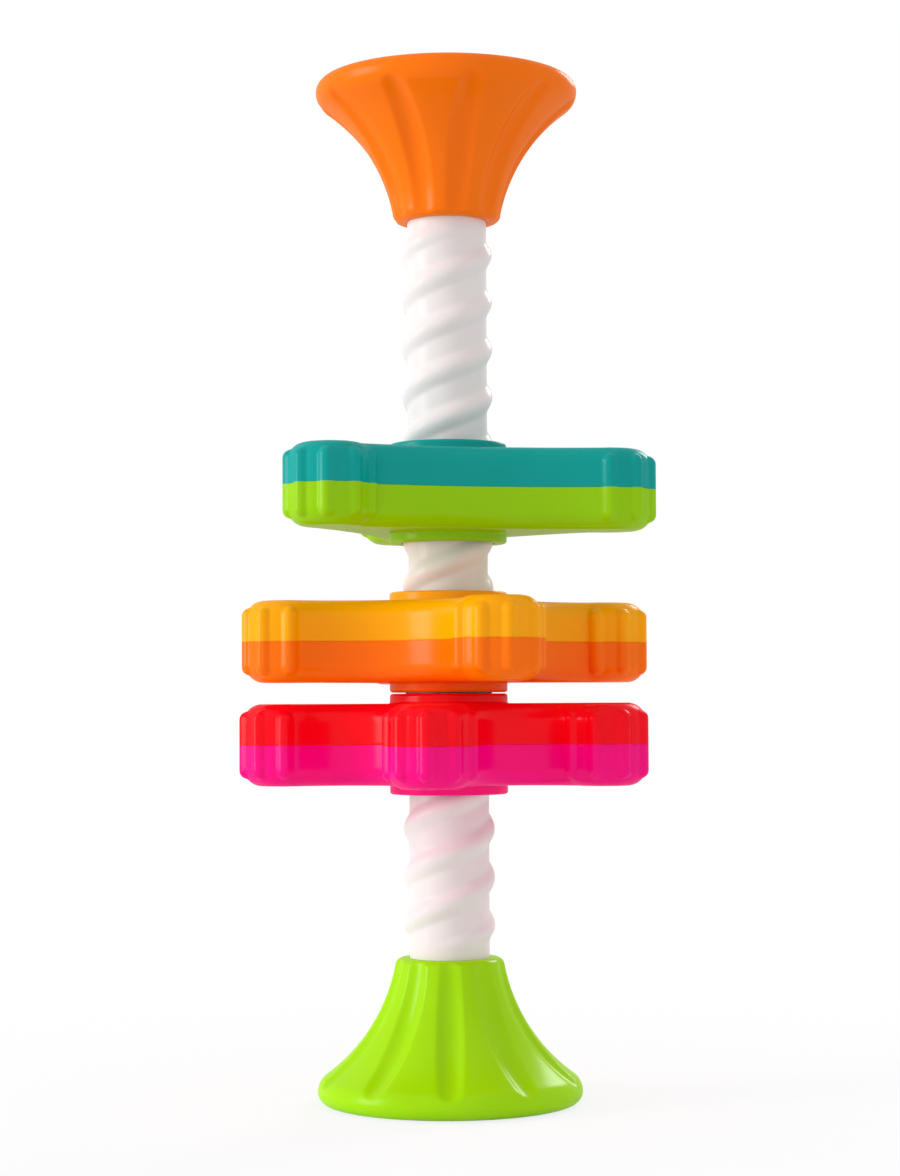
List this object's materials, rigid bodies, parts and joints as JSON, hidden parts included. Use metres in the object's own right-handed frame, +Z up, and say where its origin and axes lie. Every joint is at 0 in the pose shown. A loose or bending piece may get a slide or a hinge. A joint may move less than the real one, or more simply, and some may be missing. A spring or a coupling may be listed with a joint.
{
  "type": "spinning stacking toy",
  "caption": "Baby toy: two-tone star spinners that whirl down a twisted post, between a fluted bell base and a matching cap.",
  "frame": {"origin": "centre of the flat face that the base stands on", "axes": "+Z up along the post; -Y towards the viewer of the picture, +X to their right"},
  "size_m": [0.0885, 0.0886, 0.22],
  "materials": {
    "post": "glossy white moulded plastic",
    "base_green": "glossy lime green moulded plastic",
    "cap_orange": "glossy orange moulded plastic",
    "teal": "glossy teal moulded plastic",
    "lime": "glossy lime moulded plastic",
    "yellow": "glossy amber yellow moulded plastic",
    "orange": "glossy orange moulded plastic",
    "red": "glossy red moulded plastic",
    "magenta": "glossy magenta moulded plastic",
    "inner": "plain natural white plastic",
    "screw": "zinc plated steel"
  },
  "bodies": {
    "stand": {"twist_post": "post", "lower_post_plug": "inner", "upper_post_plug": "inner", "base_shell": "base_green", "base_plate": "base_green", "base_screw": "screw", "cap_shell": "cap_orange", "cap_plate": "cap_orange", "cap_screw": "screw"},
    "red_carrier": {"red_guide_ring": "inner"},
    "red_spinner": {"red_upper_shell": "red", "red_lower_shell": "magenta", "red_drive_nut": "inner"},
    "yellow_carrier": {"yellow_guide_ring": "inner"},
    "yellow_spinner": {"yellow_upper_shell": "yellow", "yellow_lower_shell": "orange", "yellow_drive_nut": "inner"},
    "teal_carrier": {"teal_guide_ring": "inner"},
    "teal_spinner": {"teal_upper_shell": "teal", "teal_lower_shell": "lime", "teal_drive_nut": "inner"}
  },
  "joints": [
    {"name": "red_travel", "type": "slide", "parent": "stand", "child": "red_carrier", "axis": [0, 0, 1], "range_m": [-0.0345, 0.0155]},
    {"name": "red_spin", "type": "hinge", "parent": "red_carrier", "child": "red_spinner", "pos_m": [0, 0, 0.0764], "axis": [0, 0, 1], "range_deg": [-600, 267]},
    {"name": "yellow_travel", "type": "slide", "parent": "red_spinner", "child": "yellow_carrier", "axis": [0, 0, 1], "range_m": [-0.0002, 0.0155]},
    {"name": "yellow_spin", "type": "hinge", "parent": "yellow_carrier", "child": "yellow_spinner", "pos_m": [0, 0, 0.0982], "axis": [0, 0, 1], "range_deg": [0, 267]},
    {"name": "teal_travel", "type": "slide", "parent": "yellow_spinner", "child": "teal_carrier", "axis": [0, 0, 1], "range_m": [-0.0103, 0.0168]},
    {"name": "teal_spin", "type": "hinge", "parent": "teal_carrier", "child": "teal_spinner", "pos_m": [0, 0, 0.1302], "axis": [0, 0, 1], "range_deg": [-178, 290]}
  ],
  "couplings": [
    {"joint": "red_travel", "follows": "red_spin", "m_per_rad": 0.0032866},
    {"joint": "yellow_travel", "follows": "yellow_spin", "m_per_rad": 0.0032866},
    {"joint": "teal_travel", "follows": "teal_spin", "m_per_rad": 0.0032866}
  ]
}
